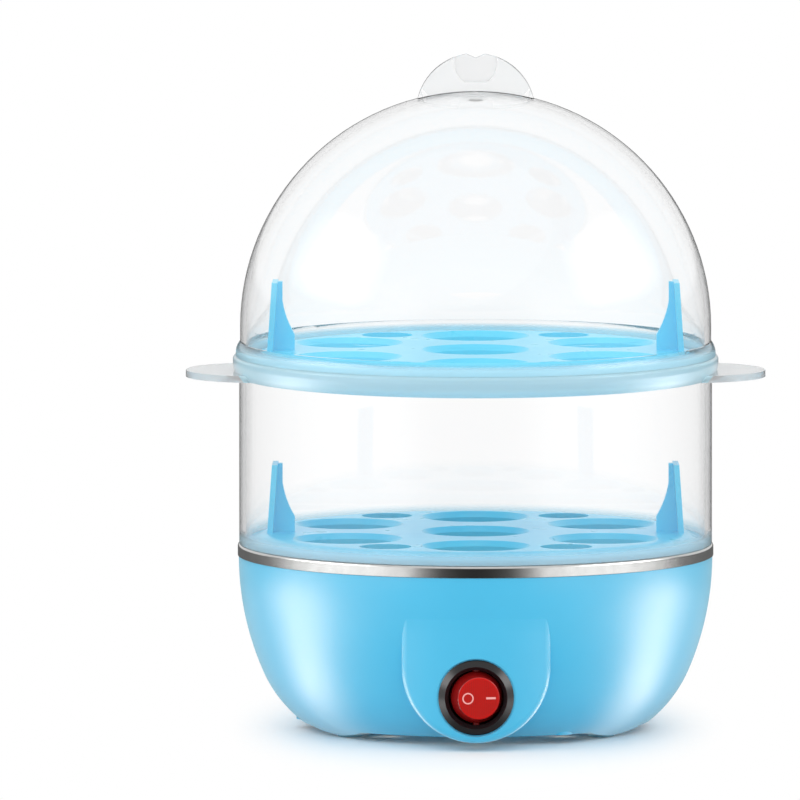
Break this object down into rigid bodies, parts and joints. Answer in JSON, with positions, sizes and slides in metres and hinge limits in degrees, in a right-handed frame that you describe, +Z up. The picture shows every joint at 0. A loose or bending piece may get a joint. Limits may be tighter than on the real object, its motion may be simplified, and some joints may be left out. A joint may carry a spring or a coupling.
{
  "type": "egg cooker",
  "caption": "Electric egg cooker: round moulded base with a rocker switch, steel heating pan, stacked egg racks with lifting fins, clear steam ring with ears and clear dome lid.",
  "frame": {"origin": "on the ground, on the axis of the bowl and the dome", "axes": "+Z up along the axis of the bowl, -Y to the front with the switch, X along the two ears"},
  "size_m": [0.19, 0.1592, 0.2216],
  "materials": {
    "blue_shell": "glossy",
    "blue_rack": "glossy",
    "pan_steel": "polished",
    "clear_plastic": "clear, glossy",
    "black_plastic": "glossy",
    "red_lens": "translucent, glossy",
    "foot_rubber": "matte",
    "white_silicone": "matte",
    "cast_aluminium": "as cast",
    "element_sheath": "drawn",
    "ceramic": "glazed",
    "phenolic": "moulded",
    "screw_steel": "zinc plated",
    "contact_brass": "stamped",
    "tinned_brass": "tinned",
    "glass_sleeve": "braided glass fibre",
    "neon_glass": "clear",
    "clear_vinyl": "soft moulded",
    "brown_wire": "extruded silicone",
    "white_wire": "extruded silicone",
    "blue_wire": "extruded silicone",
    "grey_nylon": "moulded"
  },
  "bodies": {
    "base": {"base_shell": "blue_shell", "bottom_cover": "blue_shell", "cover_screws": "screw_steel", "foot_pads": "foot_rubber", "heating_pan": "pan_steel", "pan_gasket": "white_silicone", "pan_standoffs": "screw_steel", "pan_screws": "screw_steel", "heater_plate": "cast_aluminium", "heater_tube": "element_sheath", "heater_beads": "ceramic", "heater_pins": "screw_steel", "thermostat_cap": "cast_aluminium", "thermostat_body": "phenolic", "thermostat_terminals": "tinned_brass", "thermostat_screws": "screw_steel", "thermal_fuse": "tinned_brass", "fuse_sleeve": "glass_sleeve", "fuse_clamp": "screw_steel", "switch_housing": "black_plastic", "switch_terminals": "contact_brass", "spade_connectors": "clear_vinyl", "pin_crimps": "tinned_brass", "switched_lead": "brown_wire", "element_lead": "white_wire", "fuse_lead": "white_wire", "neutral_lead": "blue_wire", "live_lead": "brown_wire", "splice_caps": "grey_nylon", "cord_grommet": "black_plastic"},
    "rocker": {"switch_rocker": "red_lens", "rocker_plunger": "grey_nylon", "neon_lamp": "neon_glass"},
    "contact_lever": {"contact_lever": "contact_brass"},
    "lower_rack": {"lower_egg_rack": "blue_rack"},
    "steam_ring": {"steam_ring": "clear_plastic"},
    "upper_rack": {"upper_egg_rack": "blue_rack"},
    "lid": {"dome_lid": "clear_plastic"}
  },
  "joints": [
    {"name": "rocker_tilt", "type": "hinge", "parent": "base", "child": "rocker", "pos_m": [0, -0.0729, 0.0176], "axis": [0, 0, -1], "range_deg": [0, 20]},
    {"name": "contact_tilt", "type": "hinge", "parent": "base", "child": "contact_lever", "pos_m": [0, -0.06475, 0.0176], "axis": [0, 0, -1], "range_deg": [-13, 0]},
    {"name": "lower_rack_lift", "type": "slide", "parent": "base", "child": "lower_rack", "axis": [0, 0, 1], "range_m": [0, 0.04]},
    {"name": "steam_ring_lift", "type": "slide", "parent": "lower_rack", "child": "steam_ring", "axis": [0, 0, 1], "range_m": [0, 0.06]},
    {"name": "upper_rack_lift", "type": "slide", "parent": "steam_ring", "child": "upper_rack", "axis": [0, 0, 1], "range_m": [0, 0.04]},
    {"name": "lid_lift", "type": "slide", "parent": "upper_rack", "child": "lid", "axis": [0, 0, 1], "range_m": [0, 0.06]}
  ],
  "couplings": [
    {"joint": "contact_tilt", "follows": "rocker_tilt", "ratio": -0.65}
  ]
}
